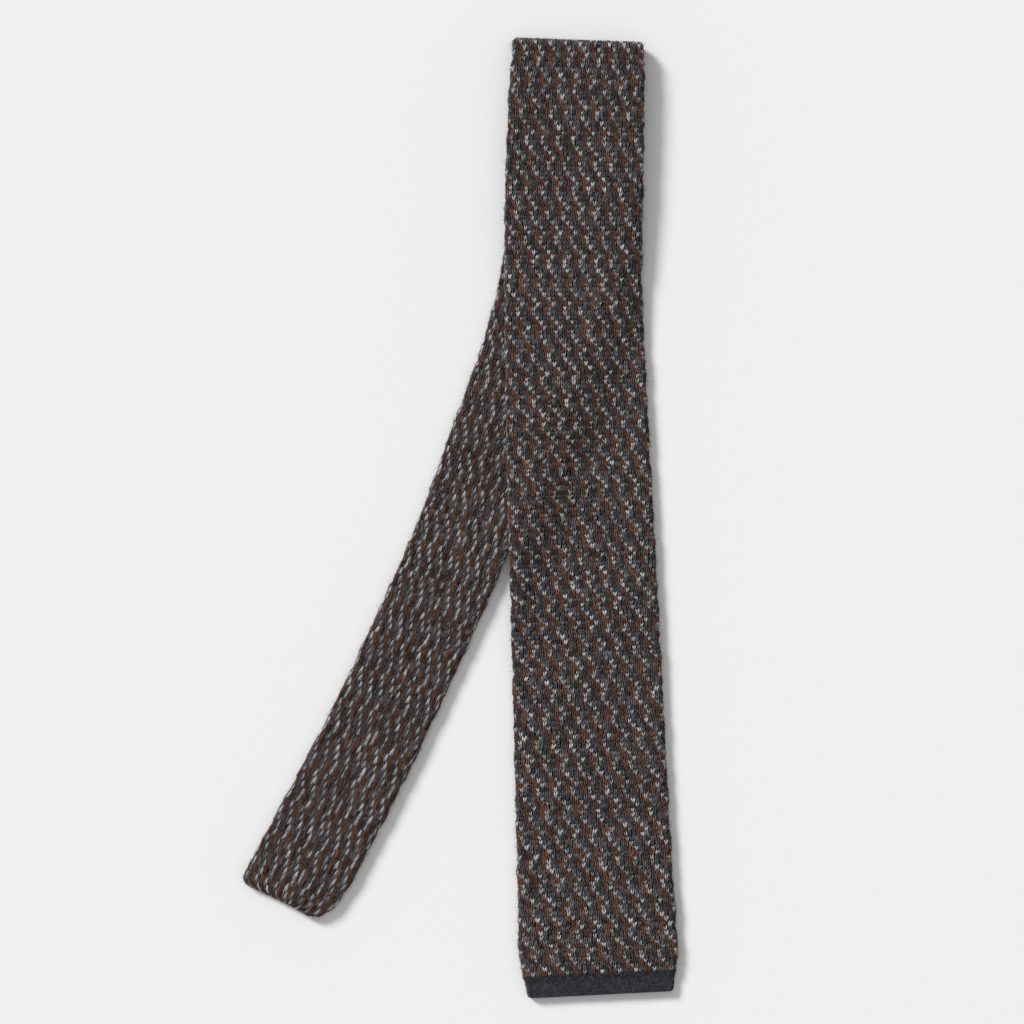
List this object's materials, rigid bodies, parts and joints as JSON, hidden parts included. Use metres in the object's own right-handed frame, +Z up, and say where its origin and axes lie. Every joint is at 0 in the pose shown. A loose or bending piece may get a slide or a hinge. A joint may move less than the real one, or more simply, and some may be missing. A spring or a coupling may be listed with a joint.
{
  "type": "knit tie",
  "caption": "Straight-ended knit tie lying flat, folded once so that the narrow tail shows beside the blade; charcoal, brown and grey jacquard knit with a plain charcoal end band.",
  "frame": {"origin": "middle of the whole tie in plan, on the surface that it lies on", "axes": "+Y from the blade's end towards the fold, +X to the right across the blade seen from above, +Z up from the surface"},
  "size_m": [0.1666, 0.37, 0.0079],
  "materials": {
    "jacquard_knit": "matte brushed wool, three colours knitted in a stepped half-drop figure",
    "charcoal_knit": "matte fine plain knit in charcoal wool",
    "joining_yarn": "matte dark brown wool yarn"
  },
  "bodies": {
    "root": {"knit_body": "jacquard_knit", "end_band": "charcoal_knit", "back_seam": "joining_yarn"}
  },
  "joints": []
}
